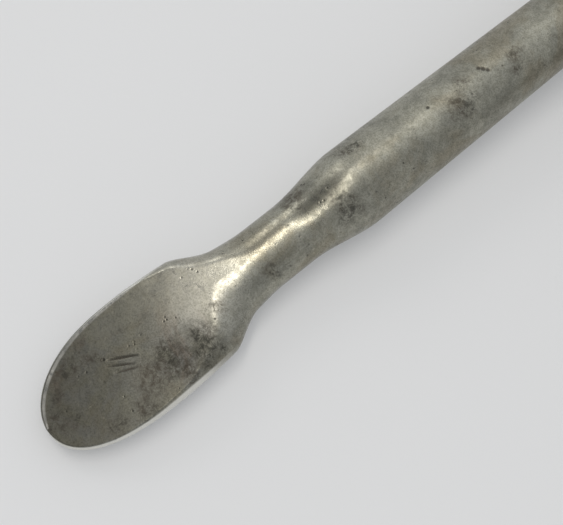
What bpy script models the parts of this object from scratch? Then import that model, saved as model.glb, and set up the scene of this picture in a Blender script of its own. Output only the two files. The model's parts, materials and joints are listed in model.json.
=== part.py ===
"""Hand-held direct laryngoscope with a removable slide and a distal lamp.

The instrument frame has the speculum's axis along +X, pointing to the distal
beak, and the handle along -Y.  Everything hangs from one empty, which lays the
instrument on its side on the plane Z = 0.
"""

import math

import bmesh
import bpy
from mathutils import Matrix, Vector

MM = 0.001

# Driving dimensions -----------------------------------------------------
HANDLE_LENGTH = 158 * MM        # paddle tip to the speculum's axis
HANDLE_X = 18 * MM              # handle axis, measured back from the mouth
SHAFT_RADIUS = 7.5 * MM         # at the shoulder, the thickest place
SHAFT_TOP_RADIUS = 6.5 * MM
NECK_HALF_WIDTH = 5.9 * MM
NECK_HALF_DEPTH = 4.8 * MM
TIP_UPPER = -0.4 * MM             # the paddle's upper face at its tip
PADDLE_THICKNESS = 2.0 * MM
CLIMB_BEND = 24 * MM            # where the upper face starts to level off
CLIMB_END = 44 * MM
EDGE_LEAN = 0.35                # the flat's two edges are not rounded alike by the neck
PADDLE_SHIFT = 0.2 * MM         # the paddle sits a little off the shaft's axis
PADDLE_HALF_WIDTH = 10.4 * MM
TIP_SKEW = 0.07                 # the hand-forged tip is a little oblique

BORE_RADIUS = 10 * MM           # inside of the speculum
WALL = 1.0 * MM
RIM_RADIUS = 12.4 * MM          # widest place of both ends of the speculum
MOUTH_RADIUS = 12.0 * MM        # trough's outside at the mouth
BEAK_LENGTH = 172 * MM          # mouth to the tip of the lip
BEAK_SHOULDER = 156 * MM        # mouth to the end of the trough's two edges

SOLDER_GAP = 0.15 * MM          # between pieces that are soldered or pinned
RUNNING_GAP = 0.25 * MM         # between pieces that slide

# Stations along the handle, measured from the paddle's tip.
PADDLE_WIDEST = 18.5 * MM
PADDLE_END = 30 * MM            # where the flat starts to swell into the neck
NECK = 45.5 * MM
SWELL_START = 52 * MM           # the neck starts to swell into the shoulder
SHOULDER = 65 * MM
SHAFT_TOP = 131 * MM
FERRULE_BORE = SHAFT_TOP_RADIUS + 0.3 * MM
SOCKET_DEPTH = 26 * MM
SOCKET_RADIUS = 4.7 * MM
PIN_STATION = 121 * MM
PIN_RADIUS = 1.25 * MM

# Angles round the speculum, from the slide side (+Y) towards +Z.
EDGE_ANGLE = math.radians(45)
MOUTH_EDGE_ANGLE = math.radians(58)
SLIDE_EDGE_ANGLE = math.radians(51)

SLIDE_THICKNESS = 0.8 * MM
SLIDE_INNER = BORE_RADIUS + WALL + 0.3 * MM
SLIDE_OUTER = SLIDE_INNER + SLIDE_THICKNESS
SLIDE_START = 2 * MM
SLIDE_END = 150 * MM
RAIL_START = 19 * MM
RAIL_END = 148 * MM

CANAL_RADIUS = 1.9 * MM
CANAL_BORE = 1.5 * MM
CANAL_Z = BORE_RADIUS - 0.12 * MM - CANAL_RADIUS
CANAL_START = -9 * MM
CANAL_END = 140 * MM
BLOCK_BACK = -9.2 * MM
BLOCK_FRONT = -2.1 * MM
LOCK_X = -5.6 * MM


def clear_scene():
    for obj in list(bpy.data.objects):
        bpy.data.objects.remove(obj)


def collection(name):
    made = bpy.data.collections.new(name)
    bpy.context.scene.collection.children.link(made)
    return made


def material(name, colour, roughness, metallic):
    made = bpy.data.materials.new(name)
    made.use_nodes = True
    shader = made.node_tree.nodes["Principled BSDF"]
    shader.inputs["Base Color"].default_value = (*colour, 1)
    shader.inputs["Roughness"].default_value = roughness
    shader.inputs["Metallic"].default_value = metallic
    return made


clear_scene()
PARTS = collection("laryngoscope")
CUTTERS = collection("cutters")
STEEL = material("worn_steel", (0.36, 0.35, 0.32), 0.38, 1.0)
NICKEL = material("nickel_plate", (0.50, 0.49, 0.46), 0.30, 1.0)
BRASS = material("brass", (0.60, 0.44, 0.20), 0.35, 1.0)
VULCANITE = material("vulcanite", (0.03, 0.025, 0.022), 0.45, 0.0)
GLASS = material("lamp_glass", (0.86, 0.88, 0.86), 0.05, 0.0)

FRAME = bpy.data.objects.new("instrument", None)
PARTS.objects.link(FRAME)


def smooth(value, start, end):
    """0 before start and 1 after end, with no kink at either."""
    share = min(1.0, max(0.0, (value - start) / (end - start)))
    return share * share * (3 - 2 * share)


def add(name, mesh, finish, matrix=None, home=None):
    """Puts a mesh in the instrument's frame as a named part."""
    obj = bpy.data.objects.new(name, mesh)
    (home or PARTS).objects.link(obj)
    obj.parent = FRAME
    obj.matrix_local = matrix or Matrix.Identity(4)
    if finish:
        mesh.materials.append(finish)
    mesh.shade_smooth()
    mesh.set_sharp_from_angle(angle=math.radians(35))
    return obj


def cutter(name, mesh, matrix=None):
    obj = add(name, mesh, None, matrix, CUTTERS)
    obj.hide_render = True
    obj.display_type = "WIRE"
    return obj


def combine(obj, other, operation="DIFFERENCE"):
    modifier = obj.modifiers.new(other.name, "BOOLEAN")
    modifier.operation = operation
    modifier.object = other


def turned_mesh(name, profile, steps, closed=False):
    """A profile of (radius, height) points, swept round local Z and made real.

    The points run down the outer side, and a closed profile comes back up the bore.
    """
    mesh = bpy.data.meshes.new(name)
    edges = [(i, i + 1) for i in range(len(profile) - 1)]
    if closed:
        edges.append((len(profile) - 1, 0))
    mesh.from_pydata([(radius, 0, height) for radius, height in profile], edges, [])
    obj = bpy.data.objects.new(name, mesh)
    CUTTERS.objects.link(obj)
    screw = obj.modifiers.new("turn", "SCREW")
    screw.steps = steps
    screw.render_steps = steps
    screw.use_merge_vertices = True
    screw.merge_threshold = 0.00001
    screw.use_smooth_shade = True
    bpy.context.view_layer.update()
    graph = bpy.context.evaluated_depsgraph_get()
    made = bpy.data.meshes.new_from_object(obj.evaluated_get(graph))
    bpy.data.objects.remove(obj)
    return made


# Local Z of a turned piece laid along one of the instrument's axes.
ALONG_X = Matrix.Rotation(math.radians(90), 4, "Y")
ALONG_Y = Matrix.Rotation(math.radians(-90), 4, "X")
ALONG_Z = Matrix.Identity(4)


def at(x, y, z, turn=ALONG_Z):
    return Matrix.Translation((x, y, z)) @ turn


def rod_mesh(name, radius, low, high, steps=24, bevel=0.0):
    """A solid round bar from low to high along local Z, with small chamfers."""
    if bevel:
        profile = [(0, high), (radius - bevel, high), (radius, high - bevel)]
        profile += [(radius, low + bevel), (radius - bevel, low), (0, low)]
    else:
        profile = [(0, high), (radius, high), (radius, low), (0, low)]
    return turned_mesh(name, profile, steps)


def tube_mesh(name, outer, bore, low, high, steps=24):
    profile = [(outer, high), (outer, low), (bore, low), (bore, high)]
    return turned_mesh(name, profile, steps, closed=True)


def skin(name, rings, close_start=True, close_end=True):
    """A closed loft over rings of points; a ring of one point ends it in a tip."""
    bm = bmesh.new()
    rows = [[bm.verts.new(point) for point in ring] for ring in rings]
    for first, second in zip(rows, rows[1:]):
        count = max(len(first), len(second))
        for i in range(count):
            j = (i + 1) % count
            if len(first) == 1:
                bm.faces.new((first[0], second[j], second[i]))
            elif len(second) == 1:
                bm.faces.new((first[i], first[j], second[0]))
            else:
                bm.faces.new((first[i], first[j], second[j], second[i]))
    if close_start and len(rows[0]) > 1:
        bm.faces.new(list(reversed(rows[0])))
    if close_end and len(rows[-1]) > 1:
        bm.faces.new(rows[-1])
    bmesh.ops.recalc_face_normals(bm, faces=bm.faces)
    mesh = bpy.data.meshes.new(name)
    bm.to_mesh(mesh)
    bm.free()
    return mesh


# The handle ---------------------------------------------------------------
def handle_half_width(u):
    """Half of the handle's width across the flat, u from the paddle's tip."""
    blunt = 2.15
    if u < PADDLE_WIDEST:
        rise = (1 - ((PADDLE_WIDEST - u) / PADDLE_WIDEST) ** blunt) ** (1 / blunt)
        return PADDLE_HALF_WIDTH * rise
    paddle = PADDLE_HALF_WIDTH - 0.55 * MM * ((u - PADDLE_WIDEST) / (13 * MM)) ** 2
    neck = NECK_HALF_WIDTH + 0.8 * MM * (1 - smooth(u, 36 * MM, NECK))
    leaving = smooth(u, 31.7 * MM, 39.5 * MM)
    width = paddle * (1 - leaving) + neck * leaving
    return width + (shaft_radius(u) - width) * smooth(u, SWELL_START, SHOULDER + 1 * MM)


def shaft_radius(u):
    share = max(0.0, u - SHOULDER) / (SHAFT_TOP - SHOULDER)
    return SHAFT_RADIUS + (SHAFT_TOP_RADIUS - SHAFT_RADIUS) * share


def handle_faces(u):
    """Heights of the upper and lower faces: a thin plate that climbs to the neck's top."""
    climb = min(u, CLIMB_END)
    bend = max(0.0, climb - CLIMB_BEND)
    share = (climb - bend * bend / (2 * (CLIMB_END - CLIMB_BEND))) / ((CLIMB_BEND + CLIMB_END) / 2)
    upper = TIP_UPPER + (NECK_HALF_DEPTH - TIP_UPPER) * share
    under = upper - PADDLE_THICKNESS
    lower = under + (-NECK_HALF_DEPTH - under) * smooth(u, 4 * MM, 38 * MM)
    shoulder = (shaft_radius(u) - NECK_HALF_DEPTH) * smooth(u, SWELL_START, SHOULDER + 1 * MM)
    return upper + shoulder, lower - shoulder


def handle_edge(u, side):
    """Width of the rounded edge: narrow on the paddle, the whole width on the shaft."""
    half = handle_half_width(u)
    narrow = min(half, (0.5 + 0.5 * min(1.0, u / PADDLE_END)) * MM)
    even = narrow + (half - narrow) * smooth(u, 22 * MM, NECK + 0.5 * MM)
    lean = smooth(u, 20 * MM, 30 * MM) * (1 - smooth(u, 36 * MM, NECK))
    return min(half, even * (1 + EDGE_LEAN * side * lean))


def handle_ring(u, columns):
    """Points round the handle at u: across the upper face and back under the lower."""
    half = handle_half_width(u)
    if half < 1e-6:
        upper, lower = handle_faces(u)
        return [Vector((HANDLE_X + PADDLE_SHIFT, u - HANDLE_LENGTH, (upper + lower) / 2))]
    step = 0.05 * MM
    before = handle_half_width(max(0.0, u - step))
    slope = (handle_half_width(u + step) - before) / (step + min(u, step))
    upper, lower = handle_faces(u)
    centre = HANDLE_X + PADDLE_SHIFT * (1 - smooth(u, 22 * MM, 36 * MM))
    middle = (upper + lower) / 2
    skew = TIP_SKEW * (1 - smooth(u, 0, 16 * MM))
    ring = []
    for i in range(2 * columns):
        angle = math.pi * i / columns
        across = math.cos(angle)
        edge = handle_edge(u, math.copysign(1, across))
        # On a thin edge most of the columns crowd into the rounding.
        crowd = 1 - 0.45 * (1 - edge / half)
        across = math.copysign(abs(across) ** crowd, across)
        inset = half * (1 - abs(across)) / math.hypot(1, slope)
        share = min(1.0, inset / edge)
        height = math.sqrt(max(0.0, 1 - (1 - share) ** 2))
        face = upper if i <= columns else lower
        ring.append(Vector((
            centre + half * across,
            u - HANDLE_LENGTH - skew * half * across,
            middle + (face - middle) * height,
        )))
    return ring


def handle_stations():
    tip = [0, 0.12, 0.5, 1.2, 2.2, 3.6, 5.5, 8, 11, 15, 19.5, 24, 27]
    neck = [30, 31.5, 33, 34.5, 36, 37.5, 39.5, 42, 45, 48, 51, 53]
    shoulder = [55, 57, 59, 61, 63, 65, 66, 68]
    return [u * MM for u in tip + neck + shoulder] + [SHAFT_TOP]


def make_handle():
    rings = [handle_ring(u, 16) for u in handle_stations()]
    shaft = add("handle_shaft", skin("handle_shaft", rings), STEEL)
    top = SHAFT_TOP - HANDLE_LENGTH
    socket = rod_mesh("socket", SOCKET_RADIUS, -SOCKET_DEPTH, 5 * MM, 32)
    combine(shaft, cutter("socket", socket, at(HANDLE_X, top, 0, ALONG_Y)))
    pin_y = PIN_STATION - HANDLE_LENGTH
    hole = rod_mesh("pin_hole", PIN_RADIUS + SOLDER_GAP, -10 * MM, 10 * MM, 16)
    pin_hole = cutter("pin_hole", hole, at(HANDLE_X, pin_y, 0, ALONG_Z))
    combine(shaft, pin_hole)

    reach = shaft_radius(PIN_STATION) - 0.1 * MM
    pin = rod_mesh("handle_pin", PIN_RADIUS, -reach, reach, 16, 0.2 * MM)
    add("handle_pin", pin, STEEL, at(HANDLE_X, pin_y, 0, ALONG_Z))

    steps = [
        # thickness over the bore, height
        (0.4, 9.0), (1.3, 8.2), (1.3, 6.6), (0.8, 6.0), (0.8, 3.0), (1.3, 2.4), (1.3, 0.8),
        (0.5, 0.0), (0.0, 0.0), (0.0, 9.0),
    ]
    profile = [(FERRULE_BORE + wall * MM, height * MM) for wall, height in steps]
    ring = turned_mesh("handle_ferrule", profile, 40, closed=True)
    add("handle_ferrule", ring, NICKEL, at(HANDLE_X, top - 7 * MM, 0, ALONG_Y))
    return pin_hole


def make_arm(pin_hole):
    """The forged arm: spigot in the handle, round stem, and a foot under the trough."""
    top = SHAFT_TOP - HANDLE_LENGTH
    spigot = SOCKET_RADIUS - SOLDER_GAP
    bottom = SOCKET_DEPTH - 0.6 * MM
    stations = [
        # height over the shaft's end, half length along X, half depth along Z
        (-bottom, spigot - 0.5 * MM, spigot - 0.5 * MM),
        (0.5 * MM - bottom, spigot, spigot),
        (0.3 * MM, spigot, spigot),
        (0.3 * MM, 6.0 * MM, 6.0 * MM),
        (0.8 * MM, 6.5 * MM, 6.5 * MM),
        (2.4 * MM, 6.5 * MM, 6.5 * MM),
        (3.2 * MM, 5.7 * MM, 5.7 * MM),
        (5.5 * MM, 5.4 * MM, 5.3 * MM),
        (8.0 * MM, 6.2 * MM, 5.5 * MM),
        (10.5 * MM, 8.2 * MM, 6.0 * MM),
        (13.0 * MM, 11.2 * MM, 6.9 * MM),
        (14.8 * MM, 13.4 * MM, 7.7 * MM),
        (16.0 * MM, 14.0 * MM, 8.1 * MM),
        (21.5 * MM, 14.0 * MM, 8.1 * MM),
    ]
    count = 32
    rings = []
    for over, half_x, half_z in stations:
        turn = [2 * math.pi * i / count for i in range(count)]
        rings.append([
            Vector((HANDLE_X + half_x * math.cos(a), top + over, half_z * math.sin(a)))
            for a in turn
        ])
    arm = add("handle_arm", skin("handle_arm", rings), NICKEL)
    combine(arm, cutter("trough_seat", trough_seat_mesh(), ALONG_X))
    combine(arm, pin_hole)
    return arm


# The speculum -------------------------------------------------------------
FLARE_END = 14 * MM             # the mouth's flare ends here
LIP_FLARE = 7 * MM              # length over which the distal lip turns out


def mouth_flare(x):
    share = max(0.0, 1 - x / FLARE_END)
    return (MOUTH_RADIUS - BORE_RADIUS - WALL) * share * share


def beak_end(angle):
    """Length of the trough at an angle: longest opposite the slide."""
    share = (1 - math.cos(angle)) / 2
    near = (1 - math.cos(EDGE_ANGLE)) / 2
    share = max(0.0, (share - near) / (1 - near))
    return BEAK_SHOULDER + (BEAK_LENGTH - BEAK_SHOULDER) * share ** 1.5


def trough_radius(x, end):
    lip = max(0.0, 1 - (end - x) / LIP_FLARE)
    outside = BORE_RADIUS + WALL + mouth_flare(x)
    return outside + (RIM_RADIUS - BORE_RADIUS - WALL) * lip * lip


def round_point(x, radius, angle):
    return Vector((x, radius * math.cos(angle), radius * math.sin(angle)))


def sheet(name, rows, columns, place, thickness, finish):
    """An open sheet placed by place(row, share across), thickened inwards."""
    bm = bmesh.new()
    grid = [
        [bm.verts.new(place(row, i / columns)) for i in range(columns + 1)]
        for row in rows
    ]
    for first, second in zip(grid, grid[1:]):
        for i in range(columns):
            bm.faces.new((first[i], first[i + 1], second[i + 1], second[i]))
    mesh = bpy.data.meshes.new(name)
    bm.to_mesh(mesh)
    bm.free()
    obj = add(name, mesh, finish)
    thick = obj.modifiers.new("thickness", "SOLIDIFY")
    thick.thickness = thickness
    thick.offset = -1
    thick.use_even_offset = True
    return obj


def trough_seat_mesh():
    """The outside of the trough, grown by the solder gap, as a cutter along X."""
    outer = BORE_RADIUS + WALL + SOLDER_GAP
    stops = [-4, 0, 2, 4, 6, 8, 10, 12, 14, 50]
    side = [(outer + mouth_flare(max(0.0, x * MM)), x * MM) for x in reversed(stops)]
    return turned_mesh("trough_seat", [(0, side[0][1]), *side, (0, side[-1][1])], 64)


def make_trough():
    near = [0, 1.5, 3, 5, 7, 9, 11.5, 14, 15, 16, 17, 18]
    middle = [60, 100]
    far = [14, 7, 5.8, 4.6, 3.4, 2.2, 1.1, 0]
    rows = [("near", x * MM) for x in near + middle] + [("far", x * MM) for x in far]

    def place(row, share):
        kind, x = row
        widen = 1 - smooth(x, 14 * MM, 18 * MM) if kind == "near" else 0.0
        limit = EDGE_ANGLE + (MOUTH_EDGE_ANGLE - EDGE_ANGLE) * widen
        angle = limit + (2 * math.pi - 2 * limit) * share
        end = beak_end(angle)
        if kind == "far":
            x = end - x
        return round_point(x, trough_radius(x, end), angle)

    return sheet("speculum_trough", rows, 32, place, WALL, NICKEL)


def arc_strip(name, start, end, limit, inner, thickness, finish, columns, nose=0.0):
    """A strip of a cylinder on the slide side, with rounded corners at its far end."""
    def place(x, share):
        angle = limit * (2 * share - 1)
        if x == end:
            x -= nose * abs(2 * share - 1) ** 4
        return round_point(x, inner + thickness, angle)

    rows = [start, end - 2 * nose, end] if nose else [start, end]
    return sheet(name, rows, columns, place, thickness, finish)


def curve_slab(name, outline, low, high, finish):
    """A flat outline of (y, z) points, extruded along X."""
    curve = bpy.data.curves.new(name, "CURVE")
    curve.dimensions = "2D"
    curve.fill_mode = "BOTH"
    curve.extrude = (high - low) / 2
    spline = curve.splines.new("POLY")
    spline.points.add(len(outline) - 1)
    for point, (y, z) in zip(spline.points, outline):
        point.co = (-z, y, 0, 1)
    spline.use_cyclic_u = True
    curve.materials.append(finish)
    obj = bpy.data.objects.new(name, curve)
    PARTS.objects.link(obj)
    obj.parent = FRAME
    obj.matrix_local = at((low + high) / 2, 0, 0, ALONG_X)
    return obj


def rail_outline(side):
    """An L-section: a foot on the trough and a hook over the slide's edge."""
    foot = BORE_RADIUS + WALL + SOLDER_GAP
    under = SLIDE_OUTER + 0.2 * MM
    top = under + 0.7 * MM
    hook, groove, outside = (math.radians(a) for a in (46, 54, 64))
    steps = 4

    def arc(radius, start, end):
        angles = [start + (end - start) * i / steps for i in range(steps + 1)]
        return [(radius * math.cos(a), side * radius * math.sin(a)) for a in angles]

    path = arc(top, hook, outside) + arc(foot, outside, groove) + arc(under, groove, hook)
    return path if side > 0 else list(reversed(path))


def make_mouth_ring():
    """A rolled bead on the mouth's edge, open where the slide passes."""
    bead = 0.9 * MM
    ring = RIM_RADIUS - bead
    curve = bpy.data.curves.new("mouth_ring", "CURVE")
    curve.dimensions = "3D"
    curve.bevel_depth = bead
    curve.bevel_resolution = 2
    curve.use_fill_caps = True
    spline = curve.splines.new("POLY")
    count = 36
    start = MOUTH_EDGE_ANGLE + math.radians(1)
    spline.points.add(count - 1)
    for i, point in enumerate(spline.points):
        angle = start + (2 * math.pi - 2 * start) * i / (count - 1)
        point.co = (*round_point(-bead - SOLDER_GAP, ring, angle), 1)
    curve.materials.append(NICKEL)
    obj = bpy.data.objects.new("mouth_ring", curve)
    PARTS.objects.link(obj)
    obj.parent = FRAME


def rivet_mesh(name, head_radius, head_height, shank_radius, length):
    """A domed head above local Z = 0 and a shank below it."""
    dome = [
        (head_radius * math.sin(a), head_height * math.cos(a))
        for a in (math.radians(d) for d in (0, 25, 50, 72))
    ]
    profile = [*dome, (head_radius, 0), (shank_radius, 0), (shank_radius, -length)]
    return turned_mesh(name, [*profile, (0, -length)], 16)


def make_saddle_rivets(arm, trough):
    for name, x in (("saddle_rivet_rear", 11 * MM), ("saddle_rivet_front", 25 * MM)):
        inside = -(BORE_RADIUS + mouth_flare(x)) + SOLDER_GAP
        hole = cutter(
            name + "_hole",
            rod_mesh(name, 1.45 * MM, -5.4 * MM, 4 * MM, 16),
            at(x, inside, 0, ALONG_Y),
        )
        combine(arm, hole)
        combine(trough, hole)
        rivet = rivet_mesh(name, 2.4 * MM, 0.7 * MM, 1.3 * MM, 5.4 * MM)
        add(name, rivet, NICKEL, at(x, inside + 0.25 * MM, 0, ALONG_Y))


def make_slide():
    cover = arc_strip(
        "slide_cover", SLIDE_START, SLIDE_END, SLIDE_EDGE_ANGLE,
        SLIDE_INNER, SLIDE_THICKNESS, NICKEL, 16, nose=5 * MM,
    )
    foot_inner = SLIDE_OUTER + SOLDER_GAP
    foot_thickness = 1.0 * MM
    foot = arc_strip(
        "slide_thumb_tab", SLIDE_START, 15 * MM, math.radians(26),
        foot_inner, foot_thickness, NICKEL, 12,
    )
    # The upright has a round top and leans back from the mouth.
    half, height, low = 7.5 * MM, 13 * MM, 11.6 * MM
    outline = [(low, -4.6 * MM), (low + 3 * MM, -5.4 * MM)]
    turn = [math.pi * i / 12 for i in range(13)]
    crown = low + height - half
    outline += [(crown + half * math.sin(a), -half * math.cos(a)) for a in turn]
    outline += [(low + 3 * MM, 5.4 * MM), (low, 4.6 * MM)]
    upright = curve_slab("upright", outline, 0, 1.3 * MM, NICKEL)
    bpy.context.view_layer.update()
    graph = bpy.context.evaluated_depsgraph_get()
    mesh = bpy.data.meshes.new_from_object(upright.evaluated_get(graph))
    bm = bmesh.new()
    bm.from_mesh(mesh)
    bmesh.ops.remove_doubles(bm, verts=bm.verts, dist=0.00001)
    bm.to_mesh(mesh)
    bm.free()
    bpy.data.objects.remove(upright)
    lean = Matrix.Translation((2.6 * MM, low, 0))
    lean = lean @ Matrix.Rotation(math.radians(14), 4, "Z")
    lean = lean @ Matrix.Translation((-0.6 * MM, -low, 0)) @ ALONG_X
    combine(foot, cutter("tab_upright", mesh, lean), "UNION")
    bore = cutter(
        "slide_underside",
        rod_mesh("slide_underside", foot_inner, -20 * MM, 40 * MM, 96),
        ALONG_X,
    )
    combine(foot, bore)
    for name, x in (("slide_rivet_rear", 7.5 * MM), ("slide_rivet_front", 12 * MM)):
        hole = cutter(
            name + "_hole",
            rod_mesh(name, 1.0 * MM, -6 * MM, 6 * MM, 16),
            at(x, SLIDE_OUTER, 0, ALONG_Y),
        )
        combine(cover, hole)
        combine(foot, hole)
        head = foot_inner + foot_thickness + SOLDER_GAP
        length = head - SLIDE_INNER - 0.05 * MM
        rivet = rivet_mesh(name, 1.7 * MM, 0.8 * MM, 0.85 * MM, length)
        add(name, rivet, NICKEL, at(x, head, 0, ALONG_Y))


# The light ------------------------------------------------------------------
def make_canal_and_lock():
    length = CANAL_END - CANAL_START
    canal = add(
        "light_canal",
        tube_mesh("light_canal", CANAL_RADIUS, CANAL_BORE, 0, length, 20),
        NICKEL, at(CANAL_START, 0, CANAL_Z, ALONG_X),
    )
    bpy.ops.mesh.primitive_cube_add(size=1)
    cube = bpy.context.object
    mesh = cube.data
    bpy.data.objects.remove(cube)
    size = Vector((BLOCK_FRONT - BLOCK_BACK, 7.4 * MM, 7.4 * MM))
    mesh.transform(Matrix.Diagonal((*size, 1)))
    middle = ((BLOCK_BACK + BLOCK_FRONT) / 2, 0, CANAL_Z + 0.2 * MM)
    block = add("carrier_block", mesh, NICKEL, at(*middle))
    rounding = block.modifiers.new("rounding", "BEVEL")
    rounding.width = 0.7 * MM
    rounding.segments = 2
    passage = rod_mesh("canal_hole", CANAL_RADIUS + SOLDER_GAP, -20 * MM, 20 * MM, 24)
    combine(block, cutter("canal_hole", passage, at(0, 0, CANAL_Z, ALONG_X)))
    screw_hole = cutter(
        "lock_hole",
        rod_mesh("lock_hole", 1.3 * MM, 0.4 * MM, 9 * MM, 16),
        at(LOCK_X, 0, CANAL_Z, ALONG_Z),
    )
    combine(block, screw_hole)
    combine(canal, screw_hole)

    seat = CANAL_Z + 0.2 * MM + size.z / 2
    tip = CANAL_Z + 1.5 * MM
    profile = [
        (0, 4.3), (2.6, 4.3), (3.4, 3.7), (3.4, 1.3), (2.9, 0.8), (1.9, 0.8), (1.9, 0.2),
        (1.05, 0.2),
    ]
    points = [(r * MM, h * MM) for r, h in profile]
    points += [(1.05 * MM, tip - seat + 0.4 * MM), (0.6 * MM, tip - seat), (0, tip - seat)]
    screw = turned_mesh("lock_screw", points, 32)
    add("lock_screw", screw, NICKEL, at(LOCK_X, 0, seat, ALONG_Z))


STEM_START = -12 * MM
STEM_END = 143 * MM


def make_light_carrier():
    def place(name, mesh, finish):
        return add(name, mesh, finish, at(0, 0, CANAL_Z, ALONG_X))

    stem = CANAL_BORE - RUNNING_GAP
    place("carrier_stem", tube_mesh("stem", stem, 0.75 * MM, STEM_START, STEM_END, 20), NICKEL)
    place(
        "carrier_conductor",
        rod_mesh("conductor", 0.35 * MM, -11.5 * MM, 145.6 * MM, 10), BRASS,
    )
    for name, x in (("insulating_bead_rear", 20 * MM), ("insulating_bead_front", 125 * MM)):
        place(name, tube_mesh(name, 0.65 * MM, 0.45 * MM, x, x + 8 * MM, 12), VULCANITE)

    hub_front = BLOCK_BACK - 0.3 * MM
    hub = [
        (3.0, 0.0), (3.7, -0.6), (3.7, -4.2), (3.0, -4.8), (2.4, -5.2), (2.4, -6.4),
        (1.35, -6.4), (1.35, 0.0),
    ]
    profile = [(r * MM, hub_front + h * MM) for r, h in hub]
    place("carrier_hub", turned_mesh("hub", profile, 32, closed=True), NICKEL)

    cap_front = hub_front - 6.6 * MM
    cap = [(2.3, 0), (2.7, -0.4), (2.7, -3.2), (2.1, -3.8), (1.0, -3.8), (1.0, 0)]
    profile = [(r * MM, cap_front + h * MM) for r, h in cap]
    place("carrier_insulator", turned_mesh("insulator", profile, 28, closed=True), VULCANITE)

    pin_end = cap_front - 10 * MM
    pin = [
        (0, STEM_START - 0.3 * MM), (0.85 * MM, STEM_START - 0.3 * MM),
        (0.85 * MM, cap_front - 4.2 * MM), (1.35 * MM, cap_front - 4.4 * MM),
        (1.35 * MM, cap_front - 5.4 * MM), (0.95 * MM, cap_front - 5.8 * MM),
        (0.95 * MM, pin_end + 0.7 * MM), (0.55 * MM, pin_end), (0, pin_end),
    ]
    place("contact_pin", turned_mesh("pin", pin, 20), BRASS)

    socket = [
        (1.3, 147.4), (1.3, 143.2), (0.6, 143.2), (0.6, 144.2), (1.1, 144.4), (1.1, 147.4),
    ]
    profile = [(r * MM, h * MM) for r, h in socket]
    place("lamp_socket", turned_mesh("socket_sleeve", profile, 20, closed=True), NICKEL)

    base = [(0, 148.6), (0.95, 148.6), (0.95, 146.1), (0.5, 145.8), (0, 145.8)]
    place("lamp_base", turned_mesh("base", [(r * MM, h * MM) for r, h in base], 16), BRASS)
    tip = [(math.sin(a), 3.4 + 1.1 * math.cos(a)) for a in (0, 0.4, 0.8, 1.2)]
    glass = [(1.25 * r, h) for r, h in tip] + [(1.25, 3.2), (1.25, 0.8), (0.9, 0.1), (0, 0.1)]
    profile = [(r * MM, (148.6 + h) * MM) for r, h in glass]
    place("lamp_bulb", turned_mesh("bulb", profile, 20), GLASS)


# Laying it down -----------------------------------------------------------
def resting_tilt():
    """Tilt about X at which the handle's shoulder and the mouth both touch down."""
    stations = [SHOULDER - 6 * MM + i * 0.05 * MM for i in range(240)]
    low, high = 0.0, math.radians(10)
    for _ in range(40):
        tilt = (low + high) / 2
        drop = max(
            -handle_faces(u)[1] * math.cos(tilt) + (HANDLE_LENGTH - u) * math.sin(tilt)
            for u in stations
        )
        if drop > RIM_RADIUS:
            high = tilt
        else:
            low = tilt
    return low


def lay_down():
    """Tilts the instrument to rest, then puts the middle of its base at the origin."""
    FRAME.rotation_euler = (resting_tilt(), 0, 0)
    bpy.context.view_layer.update()
    graph = bpy.context.evaluated_depsgraph_get()
    corners = []
    for obj in PARTS.objects:
        if obj.type == "EMPTY":
            continue
        evaluated = obj.evaluated_get(graph)
        mesh = evaluated.to_mesh()
        corners += [evaluated.matrix_world @ vertex.co for vertex in mesh.vertices]
        evaluated.to_mesh_clear()
    low = Vector([min(c[k] for c in corners) for k in range(3)])
    high = Vector([max(c[k] for c in corners) for k in range(3)])
    FRAME.location = (-(low.x + high.x) / 2, -(low.y + high.y) / 2, -low.z)


def main():
    pin_hole = make_handle()
    arm = make_arm(pin_hole)
    trough = make_trough()
    make_saddle_rivets(arm, trough)
    make_mouth_ring()
    curve_slab("slide_rail_upper", rail_outline(1), RAIL_START, RAIL_END, NICKEL)
    curve_slab("slide_rail_lower", rail_outline(-1), RAIL_START, RAIL_END, NICKEL)
    make_slide()
    make_canal_and_lock()
    make_light_carrier()
    lay_down()


main()
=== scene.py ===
import json
import math

import bmesh
import bpy
import numpy as np
from mathutils import Matrix, Vector, noise


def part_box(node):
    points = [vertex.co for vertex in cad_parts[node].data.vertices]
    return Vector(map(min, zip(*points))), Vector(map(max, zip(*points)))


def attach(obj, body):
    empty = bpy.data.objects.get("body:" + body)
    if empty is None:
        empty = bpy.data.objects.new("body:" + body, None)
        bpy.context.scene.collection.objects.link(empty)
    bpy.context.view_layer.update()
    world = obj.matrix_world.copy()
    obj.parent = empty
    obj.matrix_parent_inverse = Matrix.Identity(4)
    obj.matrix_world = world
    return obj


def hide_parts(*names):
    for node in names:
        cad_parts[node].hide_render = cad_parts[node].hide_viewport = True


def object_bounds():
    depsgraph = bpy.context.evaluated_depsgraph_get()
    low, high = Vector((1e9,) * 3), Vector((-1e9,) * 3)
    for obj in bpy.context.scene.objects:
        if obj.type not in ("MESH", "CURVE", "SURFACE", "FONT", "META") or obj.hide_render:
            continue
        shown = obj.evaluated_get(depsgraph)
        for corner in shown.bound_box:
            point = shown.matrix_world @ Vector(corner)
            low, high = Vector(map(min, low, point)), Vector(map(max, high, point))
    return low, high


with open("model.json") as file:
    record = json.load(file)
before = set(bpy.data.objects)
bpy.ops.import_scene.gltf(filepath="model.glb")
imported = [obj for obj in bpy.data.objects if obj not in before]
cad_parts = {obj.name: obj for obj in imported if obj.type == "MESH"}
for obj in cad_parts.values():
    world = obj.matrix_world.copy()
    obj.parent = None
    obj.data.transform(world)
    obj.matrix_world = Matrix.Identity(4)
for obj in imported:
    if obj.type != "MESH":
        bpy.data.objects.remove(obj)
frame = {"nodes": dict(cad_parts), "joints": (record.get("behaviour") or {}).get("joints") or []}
CAD_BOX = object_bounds()

MM = 0.001

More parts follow.
